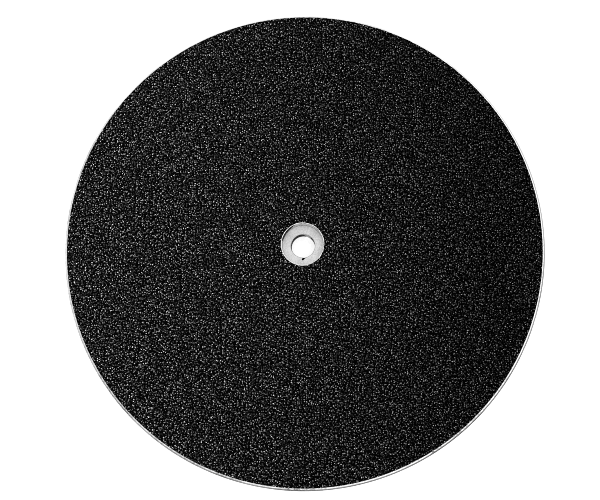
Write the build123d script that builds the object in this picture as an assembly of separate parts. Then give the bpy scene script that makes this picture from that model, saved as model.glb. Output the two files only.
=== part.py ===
from build123d import *
import os

# A flat diamond grinding wheel for a lapidary machine, lying on its back face with the
# abrasive face up. Millimetres. +Z runs along the arbor hole's axis, from the back face to
# the abrasive face, and the origin is on that axis, in the plane of the back face.
#
# From the back: a turned aluminium plate with a bush pressed into its hole, a film of
# adhesive, a thin steel disc, and the disc's coating of metal bond and diamond grit. The
# bush is shorter than the plate is thick, so the hub is a recess for the arbor's nut.

# The whole wheel
PLATE_DIAMETER = 254.0
WHEEL_THICKNESS = 15.875
ARBOR_DIAMETER = 12.7

# The abrasive disc and its layers
DISC_DIAMETER = 251.0
STEEL_THICKNESS = 1.0
FILM_THICKNESS = 0.2
COATING_THICKNESS = 0.4
STEEL_HOLE_DIAMETER = 22.3
FILM_MARGIN = 0.4
COATING_RIM_MARGIN = 0.05
COATING_HOLE_MARGIN = 0.2

# The plate
PLATE_HOLE_DIAMETER = 22.225
RIM_CHAMFER_WIDTH = 0.82
RIM_CHAMFER_HEIGHT = 0.45
PLATE_HOLE_BACK_CHAMFER = 0.3

# The bush
BUSH_LENGTH = 8.7
BUSH_OUTER_CHAMFER = 0.3
BUSH_BORE_CHAMFER = 0.3
NOTCH_LENGTH = 2.4
NOTCH_WIDTH = 1.0
NOTCH_DEPTH = 0.8
NOTCH_TURN = 46.0
NOTCH_CENTRE = (0.4, -6.75)

# Heights of the layers above the back face
PLATE_THICKNESS = WHEEL_THICKNESS - FILM_THICKNESS - STEEL_THICKNESS - COATING_THICKNESS
STEEL_BOTTOM = PLATE_THICKNESS + FILM_THICKNESS
COATING_BOTTOM = STEEL_BOTTOM + STEEL_THICKNESS


def ring(bottom, height, outer_diameter, hole_diameter):
    """A flat ring on the wheel's axis, standing at the given height."""
    outline = Circle(outer_diameter / 2) - Circle(hole_diameter / 2)
    return Pos(0, 0, bottom) * extrude(outline, height)


def circles_at(shape, radius, height):
    """The round edges of a shape with the given radius, at the given height."""
    return [
        edge
        for edge in shape.edges().filter_by(GeomType.CIRCLE)
        if abs(edge.radius - radius) < 0.01 and abs(edge.center().Z - height) < 0.01
    ]


def backing_plate():
    """The turned plate. The corners of its rim are broken to a shallow slope."""
    hole = PLATE_HOLE_DIAMETER / 2
    rim = PLATE_DIAMETER / 2
    face = rim - RIM_CHAMFER_WIDTH
    section = Polyline(
        (hole, 0),
        (face, 0),
        (rim, RIM_CHAMFER_HEIGHT),
        (rim, PLATE_THICKNESS - RIM_CHAMFER_HEIGHT),
        (face, PLATE_THICKNESS),
        (hole, PLATE_THICKNESS),
        close=True,
    )
    plate = revolve(Plane.XZ * make_face(section), Axis.Z)
    mouth = circles_at(plate, hole, 0)
    return chamfer(mouth, PLATE_HOLE_BACK_CHAMFER)


def adhesive_film():
    """The film between plate and disc, cut back from both of the disc's edges."""
    outer = DISC_DIAMETER - 2 * FILM_MARGIN
    hole = STEEL_HOLE_DIAMETER + 2 * FILM_MARGIN
    return ring(PLATE_THICKNESS, FILM_THICKNESS, outer, hole)


def carrier_disc():
    """The thin steel disc that carries the coating."""
    return ring(STEEL_BOTTOM, STEEL_THICKNESS, DISC_DIAMETER, STEEL_HOLE_DIAMETER)


def diamond_coating():
    """The coating of metal bond and diamond grit, which stops just short of the edges."""
    outer = DISC_DIAMETER - 2 * COATING_RIM_MARGIN
    hole = STEEL_HOLE_DIAMETER + 2 * COATING_HOLE_MARGIN
    return ring(COATING_BOTTOM, COATING_THICKNESS, outer, hole)


def bush_notch():
    """The short slanting notch in the front edge of the bush's bore."""
    place = Location((*NOTCH_CENTRE, BUSH_LENGTH), (0, 0, NOTCH_TURN))
    return place * Box(NOTCH_LENGTH, NOTCH_WIDTH, 2 * NOTCH_DEPTH)


def arbor_bush():
    """The reducing bush, flush with the back face and well below the front one."""
    bush = ring(0, BUSH_LENGTH, PLATE_HOLE_DIAMETER, ARBOR_DIAMETER)
    for height in (0, BUSH_LENGTH):
        bush = chamfer(circles_at(bush, PLATE_HOLE_DIAMETER / 2, height), BUSH_OUTER_CHAMFER)
        bush = chamfer(circles_at(bush, ARBOR_DIAMETER / 2, height), BUSH_BORE_CHAMFER)
    return bush - bush_notch()


def write_parts():
    """Writes one STEP file for each piece of the wheel."""
    pieces = {
        "backing_plate": backing_plate(),
        "adhesive_film": adhesive_film(),
        "carrier_disc": carrier_disc(),
        "diamond_coating": diamond_coating(),
        "arbor_bush": arbor_bush(),
    }
    os.makedirs("parts", exist_ok=True)
    for name, piece in pieces.items():
        export_step(piece, f"parts/{name}.step")


write_parts()
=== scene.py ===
"""A diamond grinding wheel, lying on a pale floor with its abrasive face up.

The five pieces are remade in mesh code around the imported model: a turned backing plate, a bush
in its hole, an adhesive film, a sheared steel disc and the crust of diamond grit on the disc.
Every length is in metres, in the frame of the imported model: the origin is on the bore's axis in
the plane of the back, and +Z points out of the abrasive face.
"""

import math
from collections import namedtuple

import bpy
import numpy as np
from mathutils import Matrix, Vector


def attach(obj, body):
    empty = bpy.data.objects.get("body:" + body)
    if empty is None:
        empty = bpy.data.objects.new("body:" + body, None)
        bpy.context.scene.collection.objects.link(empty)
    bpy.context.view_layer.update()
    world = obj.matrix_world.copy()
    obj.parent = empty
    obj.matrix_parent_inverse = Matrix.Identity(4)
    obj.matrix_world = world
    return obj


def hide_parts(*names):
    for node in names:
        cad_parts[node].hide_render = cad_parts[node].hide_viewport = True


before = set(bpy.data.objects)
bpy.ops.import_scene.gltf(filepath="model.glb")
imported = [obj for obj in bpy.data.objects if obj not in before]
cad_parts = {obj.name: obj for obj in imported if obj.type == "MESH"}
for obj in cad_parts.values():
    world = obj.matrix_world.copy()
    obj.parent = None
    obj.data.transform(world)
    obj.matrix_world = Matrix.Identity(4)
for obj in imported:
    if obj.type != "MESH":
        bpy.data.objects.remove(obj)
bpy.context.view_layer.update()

MM = 0.001
SMOOTH_ANGLE = math.radians(28)

Ring = namedtuple("Ring", "hole rim bottom top")


def ring_of(node):
    """The hole's radius, the rim's radius, the bottom and the top of a CAD ring."""
    points = np.array([vertex.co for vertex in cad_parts[node].data.vertices])
    radii = np.hypot(points[:, 0], points[:, 1])
    heights = points[:, 2]
    return Ring(radii.min(), radii.max(), heights.min(), heights.max())


PLATE = ring_of("backing_plate")
BUSH = ring_of("arbor_bush")
FILM = ring_of("adhesive_film")
DISC = ring_of("carrier_disc")
COATING = ring_of("diamond_coating")

# The turned plate
RIM_CHAMFER_WIDTH = 0.82 * MM
RIM_CHAMFER_HEIGHT = 0.45 * MM
BACK_CHAMFER = 0.3 * MM
PLATE_EDGE = 0.08 * MM
RIM_SEGMENTS = 900
RIM_ROWS = 44
FEED_PITCH = 1.15 * MM
FEED_DEPTH = 0.008 * MM
RIM_SKIN = 0.2 * MM
DENT_COUNT = 9
DENT_DEPTH = 0.16 * MM
DENT_LENGTH = 1.6 * MM
DENT_WIDTH = 0.9 * MM

# The bush
BUSH_CHAMFER = 0.3 * MM
BORE_CHAMFER = 0.3 * MM
BUSH_EDGE = 0.06 * MM
BUSH_SEGMENTS = 360
BUSH_ROWS = 44
BORE_ROWS = 30
FACING_PITCH = 0.5 * MM
FACING_DEPTH = 0.01 * MM
FACING_SKIN = 0.05 * MM
NICK_CENTRE = Vector((0.4 * MM, -6.75 * MM))
NICK_LENGTH = 2.4 * MM
NICK_WIDTH = 1.0 * MM
NICK_DEPTH = 0.8 * MM
NICK_SLOPE = 0.12 * MM
NICK_TURN = math.radians(46)

# Painted shade and shadow in the bush. A patch is an angle round the bore and a half width. The
# nick's painted shadow is so strong that the material's ragged noise leaves no gap in it.
NICK_SHADOW = 2
SHADOW_TOP = 0.88 * BUSH.top
SHADOW_FADE = 0.3 * BUSH.top
SHADOWED_BORE = [(math.radians(143), math.radians(68)), (math.radians(30), math.radians(20))]
SHADOWED_CHAMFER = (math.radians(188), math.radians(20))
UNSHADED_CHAMFER = (math.radians(108), math.radians(62))

# The sheared disc, and the film, which reaches into the hub along one side as a black band of
# painted shadow under the disc
DISC_SEGMENTS = 900
DISC_ROWS = 6
CUT_ROUGHNESS = 0.03 * MM
ROLLOVER = 0.12 * MM
FILM_EDGE = 0.07 * MM
FILM_SEGMENTS = 720
FILM_WAVE = 0.05 * MM
SHADOW_BAND_MAIN = 1.2 * MM
SHADOW_BAND_MAIN_PATCH = (math.radians(143), math.radians(32))
SHADOW_BAND_SIDE = 0.45 * MM
SHADOW_BAND_SIDE_PATCH = (math.radians(70), math.radians(52))

# The diamond grit
GRIT_SPACING = 0.78 * MM
GRIT_JITTER = 0.22
BOND_LEVEL = 0.22 * MM
BOND_WAVE = 0.05 * MM
GRAIN_SHARE = 0.42
LOWEST_GRAIN = 0.65
EDGE_RAGGED = 0.10 * MM

# Tones of the plate. The chamfer and the rim are darker copies of the ledge's tone, as painted
# shade, and the ledge and the chamfer also fall into painted shade from a line across the wheel
# towards one side each.
RIM_SHADED_DARK, RIM_SHADED_LIGHT = (0.36, 0.36, 0.36), (0.54, 0.54, 0.54)
CHAMFER_SHADED_DARK, CHAMFER_SHADED_LIGHT = (0.62, 0.62, 0.62), (0.82, 0.82, 0.82)
LEDGE_DARK, LEDGE_LIGHT = (0.74, 0.74, 0.74), (0.92, 0.92, 0.92)
WORN_ALUMINIUM = (0.85, 0.85, 0.85)
CHAMFER_SHADE_SHARE, LEDGE_SHADE_SHARE = 0.52, 0.38
CHAMFER_SHADED_SIDE, LEDGE_SHADED_SIDE = Vector((-0.6, -0.8, 0)), Vector((0.21, -0.98, 0))
SHADE_FROM = -0.6 * PLATE.rim
TONE_BLUR = 0.05 * MM
PLATE_ROUGH = (0.26, 0.42)
CHAMFER_POLISH = 0.12

# Tones of the bush, the film and the disc
BUSH_DARK, BUSH_LIGHT = (0.63, 0.63, 0.63), (0.91, 0.91, 0.91)
# Grey of the painted shade on the bush's bore and chamfers.
BORE_SHADE = (0.10, 0.10, 0.10)
# Near-black tones of the painted shadow in the bush.
SHADOW_DARK, SHADOW_LIGHT = (0.001, 0.001, 0.001), (0.01, 0.01, 0.01)
BUSH_ROUGH = (0.6, 0.85)
FILM_DARK, FILM_LIGHT = (0.006, 0.006, 0.006), (0.03, 0.03, 0.03)
FILM_ROUGH = (0.45, 0.75)
STEEL_DARK, STEEL_LIGHT = (0.42, 0.42, 0.42), (0.66, 0.655, 0.65)
WORN_STEEL = (0.9, 0.9, 0.89)
STEEL_ROUGH = (0.22, 0.42)

# Tones of the grit, palest at its -X rim and darkest from DARK_FROM to its +X rim
CRYSTAL_SIZE = 0.36 * MM
GLINT_SPACING = 1.15 * MM
# The shining crystals' tones, and the top of the bond's tones, are partly the grains' own paleness
# and partly painted glint.
GLINT_TONES = [(0.0, 0.02), (0.5, 0.12), (0.85, 0.35), (1.0, 0.64)]
BOND_TONES = [(0.0, 0.0002), (0.87, 0.0006), (1.0, 0.012)]
PALER_BOND = 3.2
PALER_GLINT = 1.58
DARKER_GLINT = 0.42
DARK_FROM = 0.75 * COATING.rim
GRIT_ROUGH = (0.25, 0.55)


# ---------------------------------------------------------------- mesh tools

def softened(corners, cut):
    """A closed outline whose corners become short curves. Each point is (radius, height, wear)."""
    steps = 3
    outline = []
    count = len(corners)
    for i in range(count):
        corner = Vector(corners[i])
        back = Vector(corners[i - 1]) - corner
        ahead = Vector(corners[(i + 1) % count]) - corner
        straight = abs(back.normalized().cross(ahead.normalized())) < 1e-3
        if straight:
            outline.append((corner.x, corner.y, 0.0))
            continue
        start = corner + back.normalized() * min(cut, back.length / 2)
        end = corner + ahead.normalized() * min(cut, ahead.length / 2)
        for t in np.linspace(0, 1, steps + 1):
            point = start * (1 - t) ** 2 + corner * 2 * t * (1 - t) + end * t * t
            outline.append((point.x, point.y, 1.0))
    return outline


def run(start, end, rows):
    """Evenly spaced points from start to end, both included."""
    return [tuple(Vector(start).lerp(Vector(end), i / rows)) for i in range(rows + 1)]


def put_attribute(mesh, name, values):
    """Stores one number for each vertex, for a material to read."""
    attribute = mesh.attributes.new(name, "FLOAT", "POINT")
    attribute.data.foreach_set("value", np.asarray(values, np.float32))


def make_object(name, points, faces, smooth_angle):
    """A mesh object of triangles or quads, shaded smooth up to an angle, or flat for None."""
    mesh = bpy.data.meshes.new(name)
    mesh.from_pydata(points.tolist(), [], faces.tolist())
    if smooth_angle is None:
        mesh.shade_flat()
    else:
        mesh.shade_smooth()
        mesh.set_sharp_from_angle(angle=smooth_angle)
    piece = bpy.data.objects.new(name, mesh)
    bpy.context.scene.collection.objects.link(piece)
    return piece


def lathe(name, outline, segments, shape):
    """Turns a closed outline round the bore's axis. shape(r, z, angle) gives the moved r and z."""
    angle = np.linspace(0, 2 * math.pi, segments, endpoint=False)[:, None]
    radius, height, wear = np.array(outline).T
    r, z = shape(radius[None, :] + 0 * angle, height[None, :] + 0 * angle, angle)
    points = np.stack([r * np.cos(angle), r * np.sin(angle), z], axis=-1)
    columns = len(outline)
    i, j = np.meshgrid(np.arange(segments), np.arange(columns), indexing="ij")
    i_next, j_next = (i + 1) % segments, (j + 1) % columns
    corners = [(i, j), (i_next, j), (i_next, j_next), (i, j_next)]
    faces = np.stack([a * columns + b for a, b in corners], axis=-1).reshape(-1, 4)
    piece = make_object(name, points.reshape(-1, 3), faces, SMOOTH_ANGLE)
    put_attribute(piece.data, "wear", np.tile(wear, segments))
    return piece


def ripple(distance, pitch, depth):
    """The height of tool marks with a rounded trough each pitch."""
    return depth * (np.abs(np.sin(math.pi * distance / pitch)) - 1)


def lobe(angle, centre, half_width):
    """A smooth bump of height 1 round an angle."""
    away = np.angle(np.exp(1j * (angle - centre)))
    return np.exp(-((away / half_width) ** 4))


def waviness(angle, rng, lowest, highest):
    """A smooth random wave, of lowest to highest turns round the wheel, from about -1 to 1."""
    count = 7
    turns = rng.integers(lowest, highest, count)
    phases = rng.uniform(0, 2 * math.pi, count)
    return sum(np.sin(n * angle + p) for n, p in zip(turns, phases)) / math.sqrt(count)


# ---------------------------------------------------------------- pieces

def plate_outline():
    """The plate's section: a straight hole and a rim with a chamfer at each end."""
    hole, rim, bottom, top = PLATE
    flat, upright = rim - RIM_CHAMFER_WIDTH, RIM_CHAMFER_HEIGHT
    corners = [(hole, bottom + BACK_CHAMFER), (hole + BACK_CHAMFER, bottom), (flat, bottom)]
    corners += run((rim, bottom + upright), (rim, top - upright), RIM_ROWS)
    corners += [(flat, top), (hole, top)]
    return softened(corners, PLATE_EDGE)


def make_plate():
    """The thick aluminium plate: feed marks round its rim and small dents along its edges."""
    rng = np.random.default_rng(11)
    dents = rng.uniform(0, 2 * math.pi, DENT_COUNT)
    heights = rng.choice([PLATE.bottom, PLATE.top], DENT_COUNT)
    depths = DENT_DEPTH * rng.uniform(0.3, 1.0, DENT_COUNT)

    def shape(r, z, angle):
        on_rim = np.clip((r - PLATE.rim + RIM_SKIN) / RIM_SKIN, 0, 1)
        r = r + on_rim * ripple(z, FEED_PITCH, FEED_DEPTH)
        for at, height, depth in zip(dents, heights, depths):
            along = np.angle(np.exp(1j * (angle - at))) * PLATE.rim
            across = np.hypot(z - height, PLATE.rim - r)
            hit = np.exp(-(along / DENT_LENGTH) ** 2 - (across / DENT_WIDTH) ** 2)
            r = r - depth * hit
        return r, z

    return lathe("backing_plate_turned", plate_outline(), RIM_SEGMENTS, shape)


def bush_outline():
    """The bush's section, chamfered at all four corners."""
    bore, rim, bottom, top = BUSH
    corners = [(bore, bottom + BORE_CHAMFER), (bore + BORE_CHAMFER, bottom)]
    corners += [(rim - BUSH_CHAMFER, bottom), (rim, bottom + BUSH_CHAMFER)]
    corners += [(rim, top - BUSH_CHAMFER)]
    corners += run((rim - BUSH_CHAMFER, top), (bore + BORE_CHAMFER, top), BUSH_ROWS)
    corners += run((bore, top - BORE_CHAMFER), (bore, bottom + 2 * BORE_CHAMFER), BORE_ROWS)
    return softened(corners, BUSH_EDGE)


def nick_mask(x, y):
    """1 inside the slanting nick in the bush's face, falling to 0 over its edge."""
    dx, dy = x - NICK_CENTRE.x, y - NICK_CENTRE.y
    along = dx * math.cos(NICK_TURN) + dy * math.sin(NICK_TURN)
    across = dy * math.cos(NICK_TURN) - dx * math.sin(NICK_TURN)
    straight = NICK_LENGTH / 2 - NICK_WIDTH / 2
    away = np.hypot(np.maximum(np.abs(along) - straight, 0), across)
    return np.clip((NICK_WIDTH / 2 - away) / NICK_SLOPE + 0.5, 0, 1)


def make_bush():
    """The reducing bush: faced on top, chamfered, with one nick beside its bore."""

    def shape(r, z, angle):
        on_top = np.clip((z - BUSH.top + FACING_SKIN) / FACING_SKIN, 0, 1)
        z = z + on_top * ripple(r, FACING_PITCH, FACING_DEPTH)
        upper = z > BUSH.top - 3 * BORE_CHAMFER
        return r, z - upper * NICK_DEPTH * nick_mask(r * np.cos(angle), r * np.sin(angle))

    piece = lathe("arbor_bush_faced", bush_outline(), BUSH_SEGMENTS, shape)
    put_attribute(piece.data, "bore_shade", bore_shade_points(piece))
    put_attribute(piece.data, "painted_shadow", painted_shadow_points(piece))
    return piece


def points_of(piece):
    """The x, y and z of a piece's vertices, as three arrays."""
    return np.array([vertex.co for vertex in piece.data.vertices]).T


def bore_shade_points(bush):
    """How grey the bore and its chamfers are painted: painted shade all round but for one unshaded
    stretch.
    """
    x, y = points_of(bush)[:2]
    inside = np.hypot(x, y) < BUSH.hole + 0.8 * BORE_CHAMFER
    return inside * (1 - lobe(np.arctan2(y, x), *UNSHADED_CHAMFER))


def painted_shadow_points(bush):
    """How black the painted shadow on the bush is: patches in the bore and on its chamfer, and the
    nick.
    """
    x, y, z = points_of(bush)
    r, angle = np.hypot(x, y), np.arctan2(y, x)
    bore = r < BUSH.hole + BORE_CHAMFER / 3
    patches = np.max([lobe(angle, *patch) for patch in SHADOWED_BORE], axis=0)
    patches = patches * np.clip((SHADOW_TOP - z) / SHADOW_FADE + 0.5, 0, 1)
    chamfer = ~bore & (r < BUSH.hole + 0.9 * BORE_CHAMFER)
    upper = z > BUSH.top / 2
    on_top = np.maximum(chamfer * lobe(angle, *SHADOWED_CHAMFER), NICK_SHADOW * nick_mask(x, y))
    return np.maximum(bore * patches, upper * on_top)


def make_film():
    """The black film between plate and disc, reaching into the hub along one side as a black band
    of painted shadow.
    """
    rng = np.random.default_rng(23)
    corners = [(FILM.hole, FILM.bottom), (FILM.rim, FILM.bottom), (FILM.rim, FILM.top)]
    corners += [(FILM.hole, FILM.top)]

    def shape(r, z, angle):
        # Painted shadow: the film's inner edge is pushed into the hub as a black band where shade
        # falls under the disc.
        shadow_band = SHADOW_BAND_MAIN * lobe(angle, *SHADOW_BAND_MAIN_PATCH)
        side = SHADOW_BAND_SIDE * lobe(angle, *SHADOW_BAND_SIDE_PATCH)
        shadow_band = np.maximum(shadow_band, side) + FILM_WAVE * waviness(angle, rng, 3, 40)
        inner = r < 2 * FILM.hole
        return r - inner * shadow_band, z

    return lathe("adhesive_film_with_shadow_band", softened(corners, FILM_EDGE), FILM_SEGMENTS, shape)


def disc_outline():
    """The disc's section, a rectangle with rolled corners."""
    hole, rim, bottom, top = DISC
    outer = run((rim, bottom), (rim, top), DISC_ROWS)
    inner = run((hole, top), (hole, bottom), DISC_ROWS)
    return softened(outer + inner, ROLLOVER)


def make_disc():
    """The thin steel disc. Its sheared edges are a little uneven and rolled over on top."""
    rng = np.random.default_rng(37)

    def shape(r, z, angle):
        tall = (z - DISC.bottom) / (DISC.top - DISC.bottom)
        tear = waviness(angle, rng, 40, 160) * (1 - tall) + 0.5 * waviness(angle, rng, 3, 12)
        side = np.where(r > (DISC.hole + DISC.rim) / 2, -1, 1)
        return r + side * CUT_ROUGHNESS * np.abs(tear), z

    return lathe("carrier_disc_sheared", disc_outline(), DISC_SEGMENTS, shape)


def ring_points(radius, count, rng, jitter):
    """Jittered points round one ring, in order of angle."""
    step = 2 * math.pi / count
    angle = (np.arange(count) + rng.uniform(0, 1)) * step
    angle = angle + rng.uniform(-jitter, jitter, count) * step
    r = radius + rng.uniform(-jitter, jitter, count) * GRIT_SPACING
    return np.column_stack([r, angle])


def stitch(first, second, first_start, second_start):
    """Triangles between two rings of points, given the angles of each in rising order."""
    turn = 2 * math.pi
    away = np.angle(np.exp(1j * (second - first[0])))
    nearest = int(np.argmin(np.abs(away)))
    there = first[0] + away[nearest] + (np.roll(second, -nearest) - second[nearest]) % turn
    ahead = np.concatenate([first[1:], [first[0] + turn], there[1:], [there[0] + turn]])
    on_second = np.repeat([False, True], [len(first), len(second)])
    on_second = on_second[np.argsort(ahead, kind="stable")]
    j = np.cumsum(on_second) - on_second
    i = np.arange(len(on_second)) - j
    a = first_start + i % len(first)
    b = second_start + (j + nearest) % len(second)
    next_a = first_start + (i + 1) % len(first)
    next_b = second_start + (j + 1 + nearest) % len(second)
    return np.column_stack([a, b, np.where(on_second, next_b, next_a)])


def grain_heights(count, rng):
    """Heights over the disc: a low bond with grains standing out of it."""
    room = COATING.top - COATING.bottom
    bond = BOND_LEVEL + BOND_WAVE * rng.uniform(0, 1, count)
    grain = rng.uniform(LOWEST_GRAIN, 1.0, count) * room
    return np.where(rng.uniform(0, 1, count) < GRAIN_SHARE, grain, bond)


def grit_ring(k, rows, rng):
    """The (radius, angle, height) points of ring k of the grit. The two edge rings are ragged."""
    radius = COATING.hole + (COATING.rim - COATING.hole) * k / rows
    count = round(2 * math.pi * radius / GRIT_SPACING)
    edge = k in (0, rows)
    points = ring_points(radius, count, rng, 0 if edge else GRIT_JITTER)
    if edge:
        inward = 1 if k == 0 else -1
        points[:, 0] += inward * EDGE_RAGGED * rng.uniform(0, 1, count)
    return np.column_stack([points, COATING.bottom + grain_heights(count, rng)])


def foot_of(ring):
    """The same ring, lowered to the disc."""
    foot = ring.copy()
    foot[:, 2] = COATING.bottom
    return foot


def make_grit():
    """The crust of diamond grit: one connected, faceted surface with a closed underside."""
    rng = np.random.default_rng(53)
    row_step = GRIT_SPACING * math.sqrt(3) / 2
    rows = round((COATING.rim - COATING.hole) / row_step)
    rings = [grit_ring(k, rows, rng) for k in range(rows + 1)]
    rings = [foot_of(rings[0])] + rings + [foot_of(rings[-1])]
    starts = np.cumsum([0] + [len(ring) for ring in rings])
    angles = [ring[:, 1] for ring in rings]
    faces = [stitch(angles[k], angles[k + 1], starts[k], starts[k + 1])
             for k in range(len(rings) - 1)]
    underside = stitch(angles[0], angles[-1], starts[0], starts[-2])
    faces.append(underside[:, ::-1])
    r, angle, z = np.vstack(rings).T
    points = np.column_stack([r * np.cos(angle), r * np.sin(angle), z])
    return make_object("diamond_grit_face", points, np.vstack(faces), None)


# ---------------------------------------------------------------- material tools

def new_material(name):
    """A new material, its node tree and its Principled surface."""
    material = bpy.data.materials.new(name)
    material.use_nodes = True
    return material, material.node_tree, material.node_tree.nodes["Principled BSDF"]


def add(tree, kind, inputs, **settings):
    """A new node. An input's value is a number, a colour or another node's output."""
    node = tree.nodes.new("ShaderNode" + kind)
    for name, value in settings.items():
        setattr(node, name, value)
    for name, value in inputs.items():
        if isinstance(value, bpy.types.NodeSocket):
            tree.links.new(value, node.inputs[name])
        else:
            node.inputs[name].default_value = value
    return node


def maths(tree, operation, first, second):
    """The sum, product or difference of two numbers or sockets."""
    return add(tree, "Math", {0: first, 1: second}, operation=operation).outputs[0]


def rescaled(tree, value, low, high, to_low, to_high):
    """value moved from low..high to to_low..to_high, and held inside it."""
    inputs = {"Value": value, "From Min": low, "From Max": high}
    inputs |= {"To Min": to_low, "To Max": to_high}
    return add(tree, "MapRange", inputs, clamp=True).outputs["Result"]


def grey_ramp(tree, value, stops):
    """A ramp of greys through (position, grey) stops."""
    ramp = add(tree, "ValToRGB", {"Fac": value})
    elements = ramp.color_ramp.elements
    while len(elements) < len(stops):
        elements.new(0.5)
    for element, (position, grey) in zip(elements, stops):
        element.position = position
        element.color = (grey, grey, grey, 1)
    return ramp.outputs["Color"]


def blended(tree, factor, first, second):
    """Two colours mixed. A colour is a socket or (red, green, blue)."""
    node = add(tree, "Mix", {0: factor}, data_type="RGBA")
    for index, value in ((6, first), (7, second)):
        if isinstance(value, bpy.types.NodeSocket):
            tree.links.new(value, node.inputs[index])
        else:
            node.inputs[index].default_value = (*value, 1)
    return node.outputs[2]


def place(tree):
    """The point on the piece, in metres."""
    return add(tree, "TexCoord", {}).outputs["Object"]


def noise(tree, vector, scale, detail, roughness):
    """Plain noise at a vector."""
    inputs = {"Vector": vector, "Scale": scale, "Detail": detail, "Roughness": roughness}
    return add(tree, "TexNoise", inputs).outputs["Fac"]


def attribute(tree, name):
    """A number that put_attribute stored."""
    return add(tree, "Attribute", {}, attribute_name=name).outputs["Fac"]


def radius_of(tree):
    """The distance from the bore's axis."""
    flat = add(tree, "VectorMath", {0: place(tree), 1: (1, 1, 0)}, operation="MULTIPLY")
    return add(tree, "VectorMath", {0: flat.outputs[0]}, operation="LENGTH").outputs["Value"]


def stepped(tree, value, at):
    """0 below a length and 1 above it, over a short blur."""
    return rescaled(tree, value, at - TONE_BLUR, at + TONE_BLUR, 0, 1)


def shaded_to_one_side(tree, colour, share, side):
    """A colour with painted shade: it falls unevenly to a share of its brightness on one side of
    the wheel.
    """
    across = add(tree, "VectorMath", {0: place(tree), 1: side}, operation="DOT_PRODUCT")
    shade_amount = rescaled(tree, across.outputs["Value"], SHADE_FROM, PLATE.rim, 0, 1)
    specks = rescaled(tree, noise(tree, place(tree), 900, 3, 0.6), 0.38, 0.62, 0.4, 1.5)
    lost = maths(tree, "MULTIPLY", maths(tree, "MULTIPLY", shade_amount, specks), 1 - share)
    kept = maths(tree, "SUBTRACT", 1.0, lost)
    return add(tree, "VectorMath", {0: colour, "Scale": kept}, operation="SCALE").outputs[0]


def turning_marks(tree, pitch):
    """Noise drawn out into rings round the bore's axis, about one pitch apart, from 0 to 1."""
    point = add(tree, "SeparateXYZ", {0: place(tree)})
    flat = add(tree, "CombineXYZ", {"X": point.outputs["X"], "Y": point.outputs["Y"]})
    around = add(tree, "VectorMath", {0: flat.outputs[0]}, operation="NORMALIZE")
    across = maths(tree, "ADD", radius_of(tree), point.outputs["Z"])
    inputs = {"Vector": around.outputs[0], "W": maths(tree, "MULTIPLY", across, 1 / pitch)}
    inputs |= {"Scale": 1.0, "Detail": 2.0, "Roughness": 0.6}
    return add(tree, "TexNoise", inputs, noise_dimensions="4D").outputs["Fac"]


def bump(tree, height, depth):
    """A bump whose height of 1 stands depth metres out."""
    return add(tree, "Bump", {"Height": height, "Distance": depth, "Strength": 1.0}).outputs[0]


def connect(tree, surface, **sockets):
    """Links outputs to the surface's inputs; an underscore in a name stands for a space."""
    for name, socket in sockets.items():
        tree.links.new(socket, surface.inputs[name.replace("_", " ")])


# ---------------------------------------------------------------- materials
# Noise hardly leaves 0.3 to 0.7. The two numbers after a noise in rescaled() are the part of it
# that is spread over the tones.

def plate_material():
    """Turned aluminium: a bright ledge, a polished chamfer and a greyer rim whose darker tones are
    painted shade, painted shade towards one side, edges worn bright.
    """
    material, tree, surface = new_material("turned_aluminium")
    height = add(tree, "SeparateXYZ", {0: place(tree)}).outputs["Z"]
    beyond_ledge = stepped(tree, radius_of(tree), PLATE.rim - RIM_CHAMFER_WIDTH)
    on_chamfer = stepped(tree, height, PLATE.top - RIM_CHAMFER_HEIGHT)
    fine = turning_marks(tree, 0.12 * MM)
    broad = turning_marks(tree, 0.9 * MM)
    patches = noise(tree, place(tree), 45, 4, 0.6)
    tone = rescaled(tree, maths(tree, "ADD", fine, patches), 0.6, 1.4, 0, 1)
    # Painted shade: the rim wall and the chamfer take darker copies of the ledge's aluminium tone.
    wall = blended(tree, tone, RIM_SHADED_DARK, RIM_SHADED_LIGHT)
    chamfer = blended(tree, tone, CHAMFER_SHADED_DARK, CHAMFER_SHADED_LIGHT)
    # Painted shade: the chamfer and the ledge fall darker towards one side each.
    chamfer = shaded_to_one_side(tree, chamfer, CHAMFER_SHADE_SHARE, CHAMFER_SHADED_SIDE)
    ledge = blended(tree, tone, LEDGE_DARK, LEDGE_LIGHT)
    ledge = shaded_to_one_side(tree, ledge, LEDGE_SHADE_SHARE, LEDGE_SHADED_SIDE)
    colour = blended(tree, beyond_ledge, ledge, blended(tree, on_chamfer, wall, chamfer))
    rubbed = rescaled(tree, patches, 0.4, 0.6, 0, 0.6)
    wear_and_side_tone = maths(tree, "MULTIPLY", attribute(tree, "wear"), rubbed)
    colour = blended(tree, wear_and_side_tone, colour, WORN_ALUMINIUM)
    rough = rescaled(tree, maths(tree, "ADD", broad, patches), 0.7, 1.3, *PLATE_ROUGH)
    polish = maths(tree, "MULTIPLY", beyond_ledge, on_chamfer)
    rough = maths(tree, "SUBTRACT", rough, maths(tree, "MULTIPLY", polish, CHAMFER_POLISH))
    surface.inputs["Metallic"].default_value = 1.0
    marks = maths(tree, "ADD", fine, maths(tree, "MULTIPLY", broad, 2.0))
    grooves = bump(tree, marks, 0.004 * MM)
    connect(tree, surface, Base_Color=colour, Roughness=rough, Normal=grooves)
    return material


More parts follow.
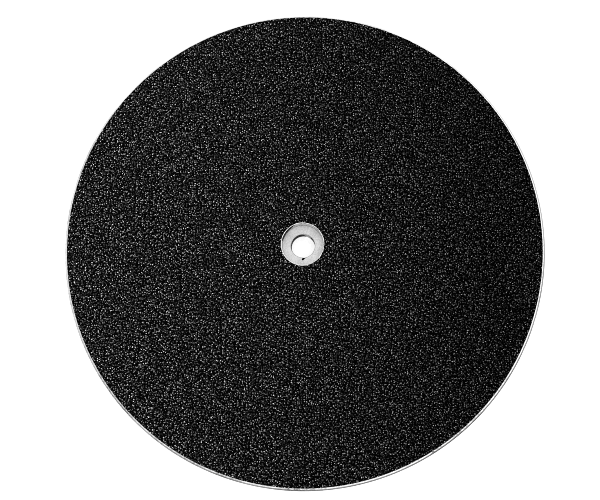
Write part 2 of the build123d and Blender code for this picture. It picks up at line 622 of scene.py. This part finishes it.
def bush_material():
    """Matt aluminium: a mottled, faintly ringed face, a bore painted grey as painted shade, and
    near-black painted shadow in patches and in the nick.
    """
    material, tree, surface = new_material("matte_aluminium")
    mottle = noise(tree, place(tree), 1400, 4, 0.7)
    cloud = noise(tree, place(tree), 260, 3, 0.5)
    rings = turning_marks(tree, 0.25 * MM)
    fine, broad = maths(tree, "MULTIPLY", mottle, 0.6), maths(tree, "MULTIPLY", cloud, 0.4)
    tone = maths(tree, "ADD", fine, broad)
    colour = blended(tree, rescaled(tree, tone, 0.35, 0.65, 0, 1), BUSH_DARK, BUSH_LIGHT)
    # Painted shade: the bore and its chamfers turn grey, but for one unshaded stretch.
    colour = blended(tree, attribute(tree, "bore_shade"), colour, BORE_SHADE)
    # Painted shadow: patches in the bore, on its chamfer and in the nick turn near black.
    ragged = rescaled(tree, noise(tree, place(tree), 900, 4, 0.65), 0.3, 0.7, -0.25, 0.25)
    in_painted_shadow = maths(tree, "ADD", attribute(tree, "painted_shadow"), ragged)
    in_painted_shadow = rescaled(tree, in_painted_shadow, 0.32, 0.48, 0, 1)
    shadow_colour = blended(tree, rescaled(tree, cloud, 0.5, 0.75, 0, 1), SHADOW_DARK, SHADOW_LIGHT)
    colour = blended(tree, in_painted_shadow, colour, shadow_colour)
    surface.inputs["Specular IOR Level"].default_value = 0.05
    rough = rescaled(tree, mottle, 0.3, 0.7, *BUSH_ROUGH)
    marks = maths(tree, "ADD", mottle, maths(tree, "MULTIPLY", rings, 0.5))
    connect(tree, surface, Base_Color=colour, Roughness=rough, Normal=bump(tree, marks, 0.02 * MM))
    return material


def film_material():
    """Black adhesive film: soft, slightly dusty, uneven at its squeezed edge."""
    material, tree, surface = new_material("black_film")
    dust = noise(tree, place(tree), 900, 4, 0.6)
    colour = blended(tree, rescaled(tree, dust, 0.45, 0.75, 0, 1), FILM_DARK, FILM_LIGHT)
    rough = rescaled(tree, dust, 0.3, 0.7, *FILM_ROUGH)
    surface.inputs["Specular IOR Level"].default_value = 0.2
    connect(tree, surface, Base_Color=colour, Roughness=rough, Normal=bump(tree, dust, 0.03 * MM))
    return material


def disc_material():
    """Sheared steel: upright cutting streaks on its edges and a bright rolled lip."""
    material, tree, surface = new_material("sheared_steel")
    stretched = add(tree, "VectorMath", {0: place(tree), 1: (1, 1, 0.12)}, operation="MULTIPLY")
    streaks = noise(tree, stretched.outputs[0], 2600, 3, 0.6)
    patches = noise(tree, place(tree), 220, 3, 0.5)
    colour = blended(tree, rescaled(tree, streaks, 0.35, 0.65, 0, 1), STEEL_DARK, STEEL_LIGHT)
    rubbed = rescaled(tree, patches, 0.3, 0.6, 0.4, 1)
    wear_and_side_tone = maths(tree, "MULTIPLY", attribute(tree, "wear"), rubbed)
    colour = blended(tree, wear_and_side_tone, colour, WORN_STEEL)
    rough = rescaled(tree, streaks, 0.3, 0.7, *STEEL_ROUGH)
    surface.inputs["Metallic"].default_value = 1.0
    tears = bump(tree, streaks, 0.02 * MM)
    connect(tree, surface, Base_Color=colour, Roughness=rough, Normal=tears)
    return material


def crystals(tree, vector, size):
    """Voronoi cells in plan, each with a random Color and the Position of its centre."""
    inputs = {"Vector": vector, "Scale": 1 / size, "Randomness": 1.0}
    return add(tree, "TexVoronoi", inputs, voronoi_dimensions="2D")


def grit_material():
    """Dark nickel bond set with crystals. One crystal in each glint cell shines: it is a grain
    paler than the bond, and its bright, widely spread tone is also a painted glint.
    """
    material, tree, surface = new_material("diamond_grit")
    point = place(tree)
    spread = crystals(tree, point, GLINT_SPACING)
    here = crystals(tree, point, CRYSTAL_SIZE)
    chosen = crystals(tree, spread.outputs["Position"], CRYSTAL_SIZE)
    ends = {0: here.outputs["Position"], 1: chosen.outputs["Position"]}
    apart = add(tree, "VectorMath", ends, operation="DISTANCE").outputs["Value"]
    shines = rescaled(tree, apart, 0.0, 0.01 * MM, 1, 0)
    spread_chance = add(tree, "SeparateColor", {0: spread.outputs["Color"]})
    chance = add(tree, "SeparateColor", {0: here.outputs["Color"]})
    across = add(tree, "SeparateXYZ", {0: point}).outputs["X"]
    # The glints and the bond are made paler towards -X and darker from DARK_FROM to +X.
    wear_and_side_tone = rescaled(tree, across, -COATING.rim, DARK_FROM, PALER_GLINT, DARKER_GLINT)
    glint = grey_ramp(tree, spread_chance.outputs["Red"], GLINT_TONES)
    glint = maths(tree, "MULTIPLY", glint, wear_and_side_tone)
    bond_side_tone = rescaled(tree, across, -COATING.rim, DARK_FROM, PALER_BOND, 1)
    bond = grey_ramp(tree, chance.outputs["Red"], BOND_TONES)
    bond = maths(tree, "MULTIPLY", bond, bond_side_tone)
    tone = add(tree, "Mix", {0: shines, 2: bond, 3: glint}).outputs[0]
    rough = rescaled(tree, chance.outputs["Green"], 0, 1, *GRIT_ROUGH)
    surface.inputs["Metallic"].default_value = 1.0
    connect(tree, surface, Base_Color=tone, Roughness=rough)
    return material


# ---------------------------------------------------------------- stage, light, camera

FLOOR_REACH = 9.0
FLOOR_TONE = (0.68, 0.68, 0.68, 1)
FLOOR_GLOW = 0.68
BRIGHT_SIDE = Vector((-0.45, 0.89, 0))
DIM_WALL, BRIGHT_WALL = 0.08, 1.30
DIMMEST_AT, BRIGHTEST_AT = -0.9, 0.6
CEILING = 0.85
WALL_TOP, CEILING_EDGE = 0.28, 0.62
SUN_TOWARDS = Vector((0.15, 0.05, 1.0))
SUN_STRENGTH = 0.8
SUN_SPREAD = math.radians(50)
CAMERA_AZIMUTH = math.radians(12.26)
CAMERA_ELEVATION = math.radians(81.29)
CAMERA_DISTANCE = 3.595 * PLATE.rim
CAMERA_AIM = Vector((-0.0106 * PLATE.rim, -0.0257 * PLATE.rim, COATING.top))
CAMERA_LENS = 51.99
CAMERA_SENSOR = 36.0


def make_camera():
    """The camera stands almost over the wheel, and world +Y points up in its picture."""
    data = bpy.data.cameras.new("camera")
    data.lens = CAMERA_LENS
    data.sensor_width = CAMERA_SENSOR
    data.clip_start = 0.01
    data.clip_end = 50
    camera = bpy.data.objects.new("camera", data)
    bpy.context.scene.collection.objects.link(camera)
    flat = math.cos(CAMERA_ELEVATION)
    back = Vector((math.sin(CAMERA_AZIMUTH) * flat, -math.cos(CAMERA_AZIMUTH) * flat,
                   math.sin(CAMERA_ELEVATION)))
    camera.location = Vector((0, 0, COATING.top)) + back * CAMERA_DISTANCE
    forward = (CAMERA_AIM - camera.location).normalized()
    right = forward.cross(Vector((0, 1, 0))).normalized()
    up = right.cross(forward)
    turn = Matrix((right, up, -forward)).transposed()
    camera.rotation_mode = "QUATERNION"
    camera.rotation_quaternion = turn.to_quaternion()
    bpy.context.scene.camera = camera


def floor_material():
    """A pale matt floor that also glows, so that it stays white where little light falls."""
    material, tree, surface = new_material("pale_floor")
    tree.nodes.remove(surface)
    shadowed = add(tree, "BsdfDiffuse", {"Color": FLOOR_TONE})
    glow = add(tree, "Emission", {"Color": (1, 1, 1, 1), "Strength": FLOOR_GLOW})
    seen = add(tree, "AddShader", {0: shadowed.outputs[0], 1: glow.outputs[0]})
    tree.links.new(seen.outputs[0], tree.nodes["Material Output"].inputs["Surface"])
    return material


def make_floor():
    """A large flat floor under the wheel."""
    mesh = bpy.data.meshes.new("floor")
    signs = [(-1, -1), (1, -1), (1, 1), (-1, 1)]
    corners = [(x * FLOOR_REACH, y * FLOOR_REACH, 0) for x, y in signs]
    mesh.from_pydata(corners, [], [(0, 1, 2, 3)])
    mesh.materials.append(floor_material())
    floor = bpy.data.objects.new("floor", mesh)
    bpy.context.scene.collection.objects.link(floor)


def make_world():
    """A white studio: even light from above, and walls that are dim on the side away from
    BRIGHT_SIDE. The camera itself sees plain white."""
    world = bpy.data.worlds.new("studio")
    world.use_nodes = True
    tree = world.node_tree
    bpy.context.scene.world = world
    direction = add(tree, "TexCoord", {}).outputs["Generated"]
    side = add(tree, "VectorMath", {0: direction, 1: BRIGHT_SIDE}, operation="DOT_PRODUCT")
    walls = rescaled(tree, side.outputs["Value"], DIMMEST_AT, BRIGHTEST_AT, DIM_WALL, BRIGHT_WALL)
    height = add(tree, "SeparateXYZ", {0: direction}).outputs["Z"]
    upward = rescaled(tree, height, WALL_TOP, CEILING_EDGE, 0, 1)
    lit = add(tree, "Mix", {0: upward, 2: walls, 3: CEILING}).outputs[0]
    backdrop = add(tree, "LightPath", {}).outputs["Is Camera Ray"]
    strength = add(tree, "Mix", {0: backdrop, 2: lit, 3: 1.0}).outputs[0]
    tree.links.new(strength, tree.nodes["Background"].inputs["Strength"])
    tree.nodes["Background"].inputs["Color"].default_value = (1, 1, 1, 1)


def make_sun():
    """A broad, soft lamp almost overhead."""
    data = bpy.data.lights.new("key", "SUN")
    data.energy = SUN_STRENGTH
    data.angle = SUN_SPREAD
    lamp = bpy.data.objects.new("key", data)
    lamp.rotation_mode = "QUATERNION"
    lamp.rotation_quaternion = SUN_TOWARDS.to_track_quat("Z", "Y")
    bpy.context.scene.collection.objects.link(lamp)


def dress(piece, material, node):
    """Gives a piece its material, puts it under the root body and hides the CAD node it stands
    for.
    """
    piece.data.materials.append(material)
    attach(piece, "root")
    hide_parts(node)


make_camera()
make_world()
make_sun()
make_floor()

dress(make_plate(), plate_material(), "backing_plate")
dress(make_bush(), bush_material(), "arbor_bush")
dress(make_film(), film_material(), "adhesive_film")
dress(make_disc(), disc_material(), "carrier_disc")
dress(make_grit(), grit_material(), "diamond_coating")

bpy.context.scene.view_settings.view_transform = "Standard"
bpy.context.scene.cycles.use_denoising = False
bpy.context.scene.cycles.filter_width = 1.0
